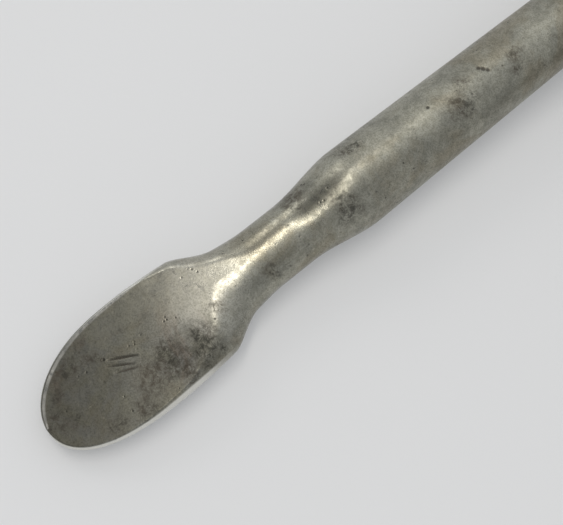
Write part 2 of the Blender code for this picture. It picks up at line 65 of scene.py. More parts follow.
# The CAD model's driving dimensions, in the instrument's own frame: the speculum's
# axis along +X from the mouth, the handle along -Y.
HANDLE_LENGTH = 158 * MM
HANDLE_X = 18 * MM
SHAFT_RADIUS = 7.5 * MM
SHAFT_TOP_RADIUS = 6.5 * MM
NECK_HALF_WIDTH = 5.9 * MM
NECK_HALF_DEPTH = 4.8 * MM
TIP_UPPER = -0.4 * MM
PADDLE_THICKNESS = 2.0 * MM
CLIMB_BEND = 24 * MM
CLIMB_END = 44 * MM
EDGE_LEAN = 0.35
PADDLE_SHIFT = 0.2 * MM
PADDLE_HALF_WIDTH = 10.4 * MM
TIP_SKEW = 0.07
SKEW_END = 16 * MM
ROUNDING_START = 22 * MM
WAIST_START = 36 * MM
PADDLE_WIDEST = 18.5 * MM
PADDLE_END = 30 * MM
PADDLE_NARROWING = 0.55 * MM
NARROWING_RUN = 13 * MM
BLEND_START = 31.7 * MM
BLEND_END = 39.5 * MM
UNDERSIDE_START = 4 * MM
UNDERSIDE_END = 38 * MM
NECK = 45.5 * MM
SWELL_START = 52 * MM
SHOULDER = 65 * MM
SHAFT_TOP = 131 * MM
FERRULE_BORE = SHAFT_TOP_RADIUS + 0.3 * MM
PIN_STATION = 121 * MM

FOOT_HALF_X = 14.0 * MM
FOOT_HALF_Z = 8.1 * MM

BORE_RADIUS = 10 * MM
WALL = 1.0 * MM
RIM_RADIUS = 12.4 * MM
MOUTH_RADIUS = 12.0 * MM
BEAK_LENGTH = 172 * MM
BEAK_SHOULDER = 156 * MM
FLARE_END = 14 * MM
LIP_FLARE = 7 * MM
SOLDER_GAP = 0.15 * MM
RUNNING_GAP = 0.25 * MM
EDGE_ANGLE = math.radians(45)
MOUTH_EDGE_ANGLE = math.radians(58)
SLIDE_EDGE_ANGLE = math.radians(51)
SLIDE_THICKNESS = 0.8 * MM
SLIDE_INNER = BORE_RADIUS + WALL + 0.3 * MM
SLIDE_OUTER = SLIDE_INNER + SLIDE_THICKNESS
SLIDE_START = 2 * MM
SLIDE_END = 150 * MM
RAIL_START = 19 * MM
RAIL_END = 148 * MM

CANAL_RADIUS = 1.9 * MM
CANAL_BORE = 1.5 * MM
CANAL_Z = BORE_RADIUS - 0.12 * MM - CANAL_RADIUS
CANAL_START = -9 * MM
CANAL_END = 140 * MM
BLOCK_BACK = -9.2 * MM
BLOCK_FRONT = -2.1 * MM
BLOCK_SIDE = 7.4 * MM
BLOCK_Z = CANAL_Z + 0.2 * MM
LOCK_X = -5.6 * MM
LOCK_SEAT = BLOCK_Z + BLOCK_SIDE / 2
STEM_START = -12 * MM
STEM_END = 143 * MM
LAMP_SEAT = 148.6 * MM


def instrument_frame():
    """Where the CAD model put the instrument's own frame, read from the lock screw's joint."""
    screw = next(j for j in frame["joints"] if j["name"] == "lock_screw_turn")
    up = Vector(screw["axis"])
    turn = Matrix.Rotation(math.atan2(-up.y, up.z), 4, "X")
    seat = turn @ Vector((LOCK_X, 0, LOCK_SEAT))
    return Matrix.Translation(Vector(screw["pos_m"]) - seat) @ turn


INSTRUMENT = instrument_frame()
ALONG_X = Matrix.Rotation(math.radians(90), 4, "Y")
ALONG_Y = Matrix.Rotation(math.radians(-90), 4, "X")
ALONG_Z = Matrix.Identity(4)


def at(x, y, z, turn=ALONG_Z):
    return Matrix.Translation((x, y, z)) @ turn


def smooth(value, start, end):
    share = min(1.0, max(0.0, (value - start) / (end - start)))
    return share * share * (3 - 2 * share)


# Materials ------------------------------------------------------------------
class Nodes:
    """A short way to write a material's node tree."""

    def __init__(self, name):
        self.material = bpy.data.materials.new(name)
        self.material.use_nodes = True
        self.tree = self.material.node_tree
        self.shader = self.tree.nodes["Principled BSDF"]
        self.coords = self.tree.nodes.new("ShaderNodeTexCoord").outputs["Object"]

    def node(self, kind, inputs=(), **settings):
        made = self.tree.nodes.new(kind)
        for key, value in settings.items():
            setattr(made, key, value)
        for key, value in dict(inputs).items():
            self.feed(made.inputs[key], value)
        return made

    def feed(self, socket, value):
        if isinstance(value, bpy.types.NodeSocket):
            self.tree.links.new(value, socket)
        else:
            socket.default_value = value

    def noise(self, scale, detail=4.0, roughness=0.55, vector=None, distortion=0.0):
        made = self.node("ShaderNodeTexNoise", {
            "Vector": vector or self.coords, "Scale": scale, "Detail": detail,
            "Roughness": roughness, "Distortion": distortion,
        })
        return made.outputs["Fac"]

    def stretch(self, scale, turn=(0.0, 0.0, 0.0)):
        made = self.node("ShaderNodeMapping", {
            "Vector": self.coords, "Scale": scale, "Rotation": turn,
        })
        return made.outputs["Vector"]

    def between(self, value, low, high, to_low=0.0, to_high=1.0):
        made = self.node("ShaderNodeMapRange", {
            "Value": value, "From Min": low, "From Max": high,
            "To Min": to_low, "To Max": to_high,
        }, interpolation_type="SMOOTHSTEP")
        return made.outputs["Result"]

    def math(self, operation, first, second=0.0):
        made = self.node("ShaderNodeMath", operation=operation)
        self.feed(made.inputs[0], first)
        self.feed(made.inputs[1], second)
        return made.outputs["Value"]

    def mix(self, share, first, second, blend="MIX"):
        made = self.node("ShaderNodeMix", data_type="RGBA", blend_type=blend)
        self.feed(made.inputs["Factor"], share)
        self.feed(made.inputs["A"], first)
        self.feed(made.inputs["B"], second)
        return made.outputs["Result"]

    def attribute(self, name):
        return self.node("ShaderNodeAttribute", attribute_name=name).outputs["Fac"]

    def near(self, point, radius, coords=None):
        """1 at a point of the surface, falling to 0 at a radius."""
        made = self.node(
            "ShaderNodeVectorMath", {0: coords or self.coords, 1: point}, operation="DISTANCE",
        )
        return self.between(made.outputs["Value"], radius, 0.0)

    def ragged(self, scale, reach):
        """Coordinates pushed about by noise, which break up round shapes."""
        push = self.node("ShaderNodeTexNoise", {
            "Vector": self.coords, "Scale": scale, "Detail": 5.0, "Roughness": 0.65,
        }).outputs["Color"]
        centred = self.node("ShaderNodeVectorMath", {0: push, 1: (0.5, 0.5, 0.5)},
                            operation="SUBTRACT").outputs["Vector"]
        moved = self.node("ShaderNodeVectorMath", {
            0: centred, 1: (reach, reach, reach), 2: self.coords,
        }, operation="MULTIPLY_ADD")
        return moved.outputs["Vector"]

    def bump(self, height, strength, distance, normal=None):
        made = self.node("ShaderNodeBump", {
            "Height": height, "Strength": strength, "Distance": distance,
        })
        if normal:
            self.feed(made.inputs["Normal"], normal)
        return made.outputs["Normal"]

    def finish(self, **sockets):
        for key, value in sockets.items():
            self.feed(self.shader.inputs[key.replace("_", " ")], value)
        return self.material


def rgb(red, green, blue):
    return (red, green, blue, 1.0)


def handle_point(x_mm, u_mm, z_mm):
    """A point of the handle: across, along from the tip, and up."""
    return INSTRUMENT @ Vector((HANDLE_X + x_mm * MM, u_mm * MM - HANDLE_LENGTH, z_mm * MM))


def film_shade_and_highlight(n, colour, cloud, zone):
    """The paddle's thin film of tarnish, partly painted shade; painted shade on the right-hand
    ridge where the paddle meets the neck; and a painted highlight where they meet.
    """
    tarnish_and_shade = n.mix(n.between(cloud, 0.4, 0.6), rgb(0.175, 0.170, 0.138), rgb(0.235, 0.236, 0.226))
    russet = n.between(n.noise(130, 5, 0.6, distortion=1.0), 0.53, 0.66, 0.0, 0.75)
    tarnish_and_shade = n.mix(russet, tarnish_and_shade, rgb(0.175, 0.128, 0.102))
    # The tarnish over the paddle is partly real and partly painted shade; the ridge's painted shade
    # adds to it.
    share = n.math("ADD", n.math("MULTIPLY", zone["tarnish_and_shade"], 0.62), zone["shade"])
    colour = n.mix(n.math("MINIMUM", share, 0.85), colour, tarnish_and_shade)
    # Painted shade over the right-hand ridge at the neck, hiding the lamp's highlight there.
    colour = n.mix(n.math("MULTIPLY", zone["shade"], 0.25), colour, rgb(0.10, 0.097, 0.082))
    # Painted highlight where the paddle meets the neck.
    return n.mix(n.math("MULTIPLY", zone["painted_highlight"], 0.62), colour, rgb(0.66, 0.64, 0.57))


def blotches(n, spots, wear):
    """How dark the surface is with tarnish: some everywhere, and most round the spots."""
    crowd = n.between(n.noise(80, 3, 0.5), 0.54, 0.74, 0.0, 0.3 * wear)
    ragged = n.ragged(260, 9 * MM) if spots else None
    for point, radius in spots:
        crowd = n.math("ADD", crowd, n.math("MULTIPLY", n.near(point, radius, ragged), 1.4))
    patches = n.between(n.noise(1100, 6, 0.75, distortion=0.5), 0.36, 0.60)
    return n.math("MULTIPLY", patches, n.math("MINIMUM", crowd, 1.0))


def pores(n, pits):
    cells = n.node("ShaderNodeTexVoronoi", {"Vector": n.coords, "Scale": 900.0})
    rare = n.between(n.noise(260, 2, 0.5), 0.54, 0.68)
    pore = n.math("MULTIPLY", n.between(cells.outputs["Distance"], 0.24, 0.10), rare)
    for point, radius in pits:
        pore = n.math("MAXIMUM", pore, n.between(n.near(point, radius), 0.2, 0.75))
    return pore


def scratches(n):
    """Fine scratches in two directions."""
    streaks = n.noise(1.0, 3, 0.6, n.stretch((3800, 160, 3800), (0, 0, 0.25)))
    cross = n.noise(1.0, 3, 0.6, n.stretch((210, 3400, 3400), (0, 0, -0.5)))
    fine = n.math("ADD", n.math("MULTIPLY", streaks, 0.6), n.math("MULTIPLY", cross, 0.4))
    return n.between(fine, 0.58, 0.70)


def chatter_marks(n, mottle, share):
    """Faint ridges across the shaft, left by a tool."""
    waves = n.node("ShaderNodeTexWave", {
        "Vector": n.coords, "Scale": 420.0, "Distortion": 2.2, "Detail": 1.0,
    }, bands_direction="Y")
    return n.math("MULTIPLY", n.math("MULTIPLY", waves.outputs["Fac"], mottle), share)


def worn_metal(name, light, dark, tarnish, roughness, wear=1.0, spots=(), pits=(), zones=None):
    """Old satin metal: mottled tarnish, dark blotches, fine grain, pores and scratches; where zones
    are given, also painted shade and painted highlights.
    """
    n = Nodes(name)
    cloud = n.noise(150, 6, 0.6, distortion=0.8)
    mottle = n.noise(900, 7, 0.68, distortion=0.4)
    grain = n.noise(3800, 4, 0.7)
    zone = {key: n.near(*place) for key, place in (zones or {}).items()}

    colour = n.mix(n.between(cloud, 0.36, 0.64), light, dark)
    stain = n.between(n.noise(62, 5, 0.62, distortion=1.4), 0.46, 0.62)
    colour = n.mix(n.math("MULTIPLY", stain, 0.6 * wear), colour, tarnish)
    if zone:
        colour = film_shade_and_highlight(n, colour, cloud, zone)
    for texture, high, shade in (
        (mottle, 0.60, rgb(0.68, 0.68, 0.66)),
        (grain, 0.66, rgb(0.40, 0.40, 0.38)),
    ):
        share = n.between(texture, 0.42, high, 0.0, 0.55 * wear)
        colour = n.mix(share, colour, shade, "MULTIPLY")

    blotch = blotches(n, spots, wear)
    soot = n.mix(n.between(cloud, 0.4, 0.6), rgb(0.055, 0.054, 0.047), rgb(0.085, 0.072, 0.057))
    colour = n.mix(n.math("MULTIPLY", blotch, 0.82), colour, soot)
    pore = pores(n, pits)
    colour = n.mix(n.math("MULTIPLY", pore, 0.75 * wear), colour, rgb(0.035, 0.033, 0.028))
    scratch = scratches(n)
    colour = n.mix(n.math("MULTIPLY", scratch, 0.45 * wear), colour, light)

    rough = n.between(mottle, 0.3, 0.7, roughness - 0.06, roughness + 0.08)
    rough = n.math("ADD", rough, n.math("MULTIPLY", blotch, 0.16))
    normal = n.bump(grain, 0.14, 0.05 * MM)
    normal = n.bump(mottle, 0.07 * wear, 0.12 * MM, normal)
    normal = n.bump(n.math("SUBTRACT", 1.0, pore), 0.5 * wear, 0.06 * MM, normal)
    normal = n.bump(scratch, 0.16, 0.03 * MM, normal)
    if zone:
        wear_and_highlight = n.attribute("wear_and_highlight")
        # Painted highlight along the paddle's rim, over real rubbing that also lowers roughness
        # below.
        colour = n.mix(n.math("MULTIPLY", wear_and_highlight, 0.85), colour, rgb(0.80, 0.79, 0.74))
        # Darker in the nicks, in proportion to their depth.
        colour = n.mix(n.math("MULTIPLY", n.attribute("cut_darkening"), 0.85), colour, soot)
        for share, change in ((zone["polish"], -0.14), (wear_and_highlight, -0.08), (zone["shade"], 0.22)):
            rough = n.math("ADD", rough, n.math("MULTIPLY", share, change))
        normal = n.bump(chatter_marks(n, mottle, zone["chatter"]), 0.35, 0.03 * MM, normal)
    return n.finish(Base_Color=colour, Metallic=1.0, Roughness=rough, Normal=normal)


# Marks on the handle in mm: across, along from the tip, up, and the radius they reach.
BLOTCHES = [
    (-4.9, 8.3, 0.9, 3.4), (-4.2, 12.5, 1.5, 2.6), (2.6, 6.0, 0.5, 2.4), (0.8, 2.2, 0.0, 3.2),
    (-3.0, 4.5, 0.3, 2.2), (5.3, 19.2, 2.4, 5.4), (3.6, 22.5, 2.9, 3.4), (7.1, 10.0, 1.1, 3.2),
    (8.6, 15.0, 1.6, 3.0), (6.9, 28.5, 3.4, 4.6), (8.2, 23.5, 2.8, 3.0), (4.1, 45.0, 3.8, 2.8),
    (3.4, 34.0, 4.0, 2.2), (3.8, 61.0, 5.5, 4.6), (-3.6, 55.0, 3.6, 3.6), (-4.0, 68.0, 6.3, 3.4),
    (3.0, 88.0, 6.6, 4.6), (1.6, 101.0, 7.0, 3.2), (-0.8, 90.0, 7.2, 1.8),
]
PITS = [
    (-0.75, 94.7, 7.1, 0.75), (-0.1, 95.2, 7.1, 0.85), (0.6, 95.7, 7.1, 0.75),
    (-0.7, 82.9, 7.2, 0.6), (-2.6, 14.2, 1.8, 0.5), (-4.2, 24.0, 2.8, 0.4),
]
ZONES = {
    # Tarnish over the paddle, partly painted shade.
    "tarnish_and_shade": (0, 8, 0.5, 23),
    # Painted shade over the right-hand ridge where the paddle meets the neck.
    "shade": (4.8, 27, 3.2, 9.5),
    "polish": (0, 46, 4, 30),
    "chatter": (-0.8, 77.5, 7.1, 8),
    # Painted highlight where the paddle meets the neck.
    "painted_highlight": (-2.0, 33, 3.8, 13),
}


def handle_mark(across, along, up, radius):
    return handle_point(across, along, up), radius * MM


def make_handle_steel():
    return worn_metal(
        "handle_steel", rgb(0.400, 0.390, 0.328), rgb(0.308, 0.303, 0.258),
        rgb(0.285, 0.256, 0.190), 0.38,
        spots=[handle_mark(*row) for row in BLOTCHES],
        pits=[handle_mark(*row) for row in PITS],
        zones={key: handle_mark(*row) for key, row in ZONES.items()},
    )


def make_brass():
    n = Nodes("aged_brass")
    cloud = n.noise(500, 6, 0.6)
    colour = n.mix(n.between(cloud, 0.4, 0.62), rgb(0.64, 0.45, 0.19), rgb(0.36, 0.25, 0.11))
    dull = n.between(n.noise(1600, 6, 0.7), 0.55, 0.7)
    colour = n.mix(n.math("MULTIPLY", dull, 0.5), colour, rgb(0.12, 0.10, 0.06))
    rough = n.between(cloud, 0.3, 0.7, 0.26, 0.44)
    normal = n.bump(n.noise(4200, 3, 0.6), 0.2, 0.04 * MM)
    return n.finish(Base_Color=colour, Metallic=1.0, Roughness=rough, Normal=normal)


def make_vulcanite():
    n = Nodes("hard_rubber")
    bloom = n.between(n.noise(380, 6, 0.65), 0.48, 0.7)
    colour = n.mix(bloom, rgb(0.012, 0.011, 0.010), rgb(0.055, 0.043, 0.028))
    rough = n.between(n.noise(900, 4, 0.6), 0.3, 0.7, 0.34, 0.52)
    normal = n.bump(n.noise(3500, 4, 0.6), 0.25, 0.05 * MM)
    return n.finish(Base_Color=colour, Roughness=rough, Normal=normal)


def make_glass():
    n = Nodes("lamp_glass")
    seed = n.noise(700, 3, 0.5)
    normal = n.bump(seed, 0.06, 0.05 * MM)
    n.shader.inputs["Transmission Weight"].default_value = 1.0
    n.shader.inputs["IOR"].default_value = 1.46
    rough = n.between(n.noise(1500, 4, 0.6), 0.45, 0.75, 0.02, 0.12)
    return n.finish(Base_Color=rgb(0.94, 0.96, 0.93), Roughness=rough, Normal=normal)


def make_tungsten():
    n = Nodes("lamp_wire")
    cloud = n.noise(3000, 3, 0.5)
    colour = n.mix(cloud, rgb(0.30, 0.29, 0.28), rgb(0.16, 0.155, 0.15))
    return n.finish(Base_Color=colour, Metallic=1.0, Roughness=0.35)


# Each look is a material and the name of its slot.
STEEL = make_handle_steel(), "worn_steel"
NICKEL = worn_metal(
    "worn_nickel", rgb(0.47, 0.458, 0.42), rgb(0.35, 0.343, 0.31), rgb(0.31, 0.28, 0.20),
    0.30, wear=0.75,
), "nickel_plate"
SCREW_STEEL = worn_metal(
    "turned_steel", rgb(0.43, 0.42, 0.40), rgb(0.31, 0.30, 0.285), rgb(0.26, 0.235, 0.18),
    0.28, wear=0.8,
), "screw_steel"
BRASS = make_brass(), "brass"
VULCANITE = make_vulcanite(), "vulcanite"
GLASS = make_glass(), "lamp_glass"
TUNGSTEN = make_tungsten(), "screw_steel"


# Pieces ---------------------------------------------------------------------
def place(obj, body, look, matrix=ALONG_Z, nodes=()):
    """Gives a piece its place, its look, the body it rides on and the CAD nodes it stands for."""
    finish, slot = look
    obj.data.materials.append(finish)
    obj.data.transform(INSTRUMENT @ matrix)
    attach(obj, body)
    if nodes:
        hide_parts(*nodes)


def grid_mesh(name, rings, closed_ends=True):
    """A loft over rings of points, closed at its ends or by meeting its own start."""
    points = [point for ring in rings for point in ring]
    starts = np.cumsum([0] + [len(ring) for ring in rings])
    faces = []
    for k, (first, second) in enumerate(zip(rings, rings[1:])):
        a, b = int(starts[k]), int(starts[k + 1])
        count = max(len(first), len(second))
        for i in range(count):
            j = (i + 1) % count
            if len(first) == 1:
                faces.append((a, b + j, b + i))
            elif len(second) == 1:
                faces.append((a + i, a + j, b))
            else:
                faces.append((a + i, a + j, b + j, b + i))
    if closed_ends:
        for k in (0, len(rings) - 1):
            if len(rings[k]) > 1:
                faces.append(tuple(range(int(starts[k]), int(starts[k + 1]))))
    mesh = bpy.data.meshes.new(name)
    mesh.from_pydata(points, [], faces)
    bm = bmesh.new()
    bm.from_mesh(mesh)
    if not closed_ends:
        bmesh.ops.remove_doubles(bm, verts=bm.verts, dist=1e-7)
    bmesh.ops.recalc_face_normals(bm, faces=bm.faces)
    bm.to_mesh(mesh)
    bm.free()
    mesh.shade_smooth()
    return mesh


def primitive(name, make, **options):
    """A mesh from one of bmesh's own shapes."""
    mesh = bpy.data.meshes.new(name)
    bm = bmesh.new()
    make(bm, **options)
    bm.to_mesh(mesh)
    bm.free()
    return mesh


def add_object(name, data):
    obj = bpy.data.objects.new(name, data)
    bpy.context.scene.collection.objects.link(obj)
    return obj


def soften(obj, width, angle=35, segments=3):
    """A small rounding on every sharp edge, with even shading over it."""
    bevel = obj.modifiers.new("rounding", "BEVEL")
    bevel.width = width
    bevel.segments = segments
    bevel.limit_method = "ANGLE"
    bevel.angle_limit = math.radians(angle)
    obj.modifiers.new("shading", "WEIGHTED_NORMAL")
    return obj


def bake(obj):
    """The object's mesh with its modifiers applied; the object itself is removed."""
    bpy.context.view_layer.update()
    graph = bpy.context.evaluated_depsgraph_get()
    mesh = bpy.data.meshes.new_from_object(obj.evaluated_get(graph))
    bpy.data.objects.remove(obj)
    return mesh


def boolean(name, mesh, other, operation):
    first = add_object(name, mesh)
    second = add_object(name + "_cutter", other)
    modifier = first.modifiers.new("boolean", "BOOLEAN")
    modifier.operation = operation
    modifier.object = second
    made = bake(first)
    bpy.data.objects.remove(second)
    return made


def fillet(profile, radius, closed):
    """Rounds every corner of a (radius, height) profile that isn't on the axis."""
    made = []
    count, steps = len(profile), 4
    for i, (r, h) in enumerate(profile):
        inside = closed or 0 < i < count - 1
        if not inside or r < 1e-9:
            made.append((r, h))
            continue
        here = np.array((r, h))
        before = np.array(profile[i - 1]) - here
        after = np.array(profile[(i + 1) % count]) - here
        cut = min(radius, 0.45 * np.linalg.norm(before), 0.45 * np.linalg.norm(after))
        start = here + before / np.linalg.norm(before) * cut
        end = here + after / np.linalg.norm(after) * cut
        for k in range(steps + 1):
            t = k / steps
            point = (1 - t) ** 2 * start + 2 * t * (1 - t) * here + t * t * end
            made.append((float(point[0]), float(point[1])))
    return made


def split_spans(profile, bands):
    """Adds points along the stretches of a profile that carry a knurl or a thread."""
    made = [profile[0]]
    for (r0, h0), (r1, h1) in zip(profile, profile[1:]):
        step = min([band["step"] for band in bands if band["low"] < (h0 + h1) / 2 < band["high"]],
                   default=1.0)
        pieces = max(1, math.ceil(abs(h1 - h0) / step))
        made += [
            (r0 + (r1 - r0) * k / pieces, h0 + (h1 - h0) * k / pieces)
            for k in range(1, pieces + 1)
        ]
    return made


def fade_ends(height, low, high, run):
    return smooth(height, low, low + run) * smooth(-height, -high, -high + run)


def knurl(low, high, count, depth):
    """Straight knurling: a count of teeth round the piece."""
    def cut(angle, height):
        tooth = abs(((angle / (2 * math.pi) * count) % 1.0) * 2 - 1)
        return depth * tooth * fade_ends(height, low, high, depth * 1.5)
    return {"low": low, "high": high, "step": (high - low) / 8, "cut": cut}


def thread(low, high, pitch, depth):
    def cut(angle, height):
        turn = (height / pitch - angle / (2 * math.pi)) % 1.0
        return depth * (1 - abs(turn * 2 - 1)) * fade_ends(height, low, high, pitch / 2)
    return {"low": low, "high": high, "step": pitch / 8, "cut": cut}


def turned(name, profile, steps=96, closed=False, rounding=0.12 * MM, bands=()):
    """A profile of (radius, height) turned round local Z, with knurls and threads cut in."""
    outline = fillet(profile, rounding, closed)
    if closed:
        outline = split_spans([*outline, outline[0]], bands)[:-1]
    else:
        outline = split_spans(outline, bands)
    angles = [2 * math.pi * i / steps for i in range(steps)]
    rings = []
    for radius, height in outline:
        if radius < 1e-9:
            rings.append([Vector((0, 0, height))])
            continue
        ring = []
        for angle in angles:
            cuts = [b["cut"](angle, height) for b in bands if b["low"] <= height <= b["high"]]
            r = radius - max(cuts, default=0.0)
            ring.append(Vector((r * math.cos(angle), r * math.sin(angle), height)))
        rings.append(ring)
    if closed:
        rings.append(rings[0])
    return grid_mesh(name, rings, closed_ends=not closed)


def cutting_rod(name, radius, low, high, steps):
    """A plain rod round local Z that a boolean takes away."""
    outline = [(0, high), (radius, high), (radius, low), (0, low)]
    return turned(name, outline, steps, rounding=0.001 * MM)


def scaled(points, shift=0.0):
    """A profile written in millimetres, moved along its axis."""
    return [(r * MM, h * MM + shift) for r, h in points]


# The handle -----------------------------------------------------------------
def shaft_radius(u):
    share = max(0.0, u - SHOULDER) / (SHAFT_TOP - SHOULDER)
    return SHAFT_RADIUS + (SHAFT_TOP_RADIUS - SHAFT_RADIUS) * share


def handle_half_width(u):
    blunt = 2.15
    if u < PADDLE_WIDEST:
        rise = (1 - ((PADDLE_WIDEST - u) / PADDLE_WIDEST) ** blunt) ** (1 / blunt)
        return PADDLE_HALF_WIDTH * rise
    paddle = PADDLE_HALF_WIDTH - PADDLE_NARROWING * ((u - PADDLE_WIDEST) / NARROWING_RUN) ** 2
    neck = NECK_HALF_WIDTH + 0.8 * MM * (1 - smooth(u, WAIST_START, NECK))
    leaving = smooth(u, BLEND_START, BLEND_END)
    width = paddle * (1 - leaving) + neck * leaving
    return width + (shaft_radius(u) - width) * smooth(u, SWELL_START, SHOULDER + 1 * MM)


def handle_faces(u):
    """Heights of the upper and lower face at a station along the handle's middle."""
    climb = min(u, CLIMB_END)
    bend = max(0.0, climb - CLIMB_BEND)
    share = (climb - bend * bend / (2 * (CLIMB_END - CLIMB_BEND))) / ((CLIMB_BEND + CLIMB_END) / 2)
    upper = TIP_UPPER + (NECK_HALF_DEPTH - TIP_UPPER) * share
    under = upper - PADDLE_THICKNESS
    lower = under + (-NECK_HALF_DEPTH - under) * smooth(u, UNDERSIDE_START, UNDERSIDE_END)
    shoulder = (shaft_radius(u) - NECK_HALF_DEPTH) * smooth(u, SWELL_START, SHOULDER + 1 * MM)
    return upper + shoulder, lower - shoulder


def handle_edge(u, side):
    """Width of the rounding between a face and the outline, on one side."""
    half = handle_half_width(u)
    narrow = min(half, (0.5 + 0.5 * min(1.0, u / PADDLE_END)) * MM)
    even = narrow + (half - narrow) * smooth(u, ROUNDING_START, NECK + 0.5 * MM)
    lean = smooth(u, 20 * MM, PADDLE_END) * (1 - smooth(u, WAIST_START, NECK))
    return min(half, even * (1 + EDGE_LEAN * side * lean))


def groove(x, u, start, end, width, depth):
    """Depth of a nick with pointed ends and a low burr beside it, all in mm."""
    if not start[1] - 1 < u < end[1] + 1:
        return 0.0
    along = Vector((end[0] - start[0], end[1] - start[1]))
    offset = Vector((x - start[0], u - start[1]))
    t = offset.dot(along) / along.length_squared
    if not -0.1 < t < 1.1:
        return 0.0
    across = (offset.x * along.y - offset.y * along.x) / along.length
    taper = max(0.0, 1 - (2 * t - 1) ** 2) ** 0.5
    reach = width * max(0.25, taper)
    cut = depth * taper * math.exp(-((across / reach) ** 2) * 1.6)
    burr = 0.12 * depth * taper * math.exp(-(((abs(across) - 1.7 * reach) / reach) ** 2) * 2)
    return burr - cut


# Nicks and dents of the upper face: ends (across, along), half width and depth, in mm.
NICKS = [
    ((-2.45, 14.4), (0.40, 19.2), 0.32, 0.13),
    ((-1.70, 13.7), (1.15, 17.9), 0.25, 0.10),
    ((0.10, 14.2), (1.90, 17.9), 0.24, 0.09),
    ((-1.30, 94.5), (1.20, 96.1), 0.50, 0.06),
    ((-1.00, 82.7), (-0.45, 83.1), 0.35, 0.04),
    ((-6.50, 24.0), (-4.80, 29.5), 0.08, 0.025),
    ((2.50, 22.5), (6.80, 24.0), 0.07, 0.02),
    ((-4.50, 58.0), (-3.20, 61.5), 0.10, 0.03),
    ((1.50, 108.0), (4.00, 110.5), 0.12, 0.04),
]


def forging(point, u):
    """Slow unevenness of hand-forged metal, fading out on the turned shaft."""
    hammered = 1 - 0.65 * smooth(u, SHOULDER - 8 * MM, SHOULDER + 6 * MM)
    slow = noise.noise(point * 130) * 0.045 + noise.noise(point * 320) * 0.014
    fine = noise.fractal(point * 900, 0.8, 2.0, 3) * 0.004
    return (slow * hammered + fine) * MM


def edge_wear_and_highlight(u, inset, across):
    """How much the paddle's edge is rubbed and painted with a highlight line, this far in from its
    outline.
    """
    ridge, reach = (0.85 * MM, 0.45 * MM) if across < 0 else (0.10 * MM, 0.30 * MM)
    fading = 1 - smooth(u, 24 * MM, 34 * MM)
    return fading * (1 - smooth(abs(inset - ridge), 0.3 * reach, reach))


def handle_ring(u, count):
    """Points round the handle at one station, each with how rubbed and painted with a highlight it
    is, and how much its cuts are darkened.
    """
    half = handle_half_width(u)
    upper, lower = handle_faces(u)
    middle = (upper + lower) / 2
    if half < 1e-6:
        return [(Vector((HANDLE_X + PADDLE_SHIFT, u - HANDLE_LENGTH, middle)), 1.0, 0.0)]
    step = 0.05 * MM
    before = handle_half_width(max(0.0, u - step))
    slope = (handle_half_width(u + step) - before) / (step + min(u, step))
    skew = TIP_SKEW * (1 - smooth(u, 0, SKEW_END))
    centre = HANDLE_X + PADDLE_SHIFT * (1 - smooth(u, ROUNDING_START, WAIST_START))
    ring = []
    for i in range(2 * count):
        across = math.cos(math.pi * i / count)
        edge = handle_edge(u, math.copysign(1, across))
        inset = half * (1 - abs(across)) / math.hypot(1, slope)
        share = min(1.0, inset / edge)
        wear_and_highlight = edge_wear_and_highlight(u, inset, across)
        height = math.sqrt(max(0.0, 1 - (1 - share) ** 2))
        above = i <= count
        x, y = half * across, u - HANDLE_LENGTH - skew * half * across
        z = middle + ((upper if above else lower) - middle) * height
        wave = (forging(Vector((x, y, z)), u) - 0.05 * MM) * smooth(height, 0, 0.9)
        cut = 0.0
        if above and height > 0.5:
            cut = sum(groove(x / MM, u / MM, *nick) for nick in NICKS)
        wave += cut * MM
        out = Vector((x * (1 - height) / half, 0, 1 if above else -1)).normalized()
        if u > NECK:
            out = Vector((across, 0, (z - middle) / shaft_radius(u))).normalized()
        point = Vector((centre + x, y, z)) + out * min(0.0, wave)
        # The last value darkens the nicks in proportion to their depth.
        ring.append((point, wear_and_highlight, min(1.0, max(0.0, -cut / 0.08))))
    return ring


def handle_stations():
    """Stations along the handle, closest on the paddle, where the cuts are."""
    start, paddle_step = 8 * MM, 0.15 * MM
    tip = [start * (1 - math.cos(math.pi / 2 * k / 34)) for k in range(34)]
    paddle = [start + paddle_step * k for k in range(94)]
    neck = [paddle[-1] + paddle_step + 2 * paddle_step * k for k in range(160)]
    step = (SHAFT_TOP - neck[-1]) / 150
    shaft = [neck[-1] + step * (k + 1) for k in range(150)]
    return tip + paddle + neck + shaft


def make_handle():
    rings = [handle_ring(u, 180) for u in handle_stations()]
    mesh = grid_mesh("handle", [[spot[0] for spot in ring] for ring in rings])
    for k, name in enumerate(("wear_and_highlight", "cut_darkening")):
        layer = mesh.attributes.new(name, "FLOAT", "POINT")
        layer.data.foreach_set("value", [spot[k + 1] for ring in rings for spot in ring])
    obj = add_object("handle", mesh)
    place(obj, "speculum", STEEL, nodes=["handle_shaft"])

    reach = shaft_radius(PIN_STATION) - 0.1 * MM
    pin_y = PIN_STATION - HANDLE_LENGTH
    profile = scaled([(0, 1), (0.9, 0.98), (1.25, 0.7)], reach - 1 * MM)
    profile += [(r, -h) for r, h in reversed(profile)]
    pin = add_object("cross_pin", turned("cross_pin", profile, 48))
    place(pin, "speculum", STEEL, at(HANDLE_X, pin_y, 0), ["handle_pin"])


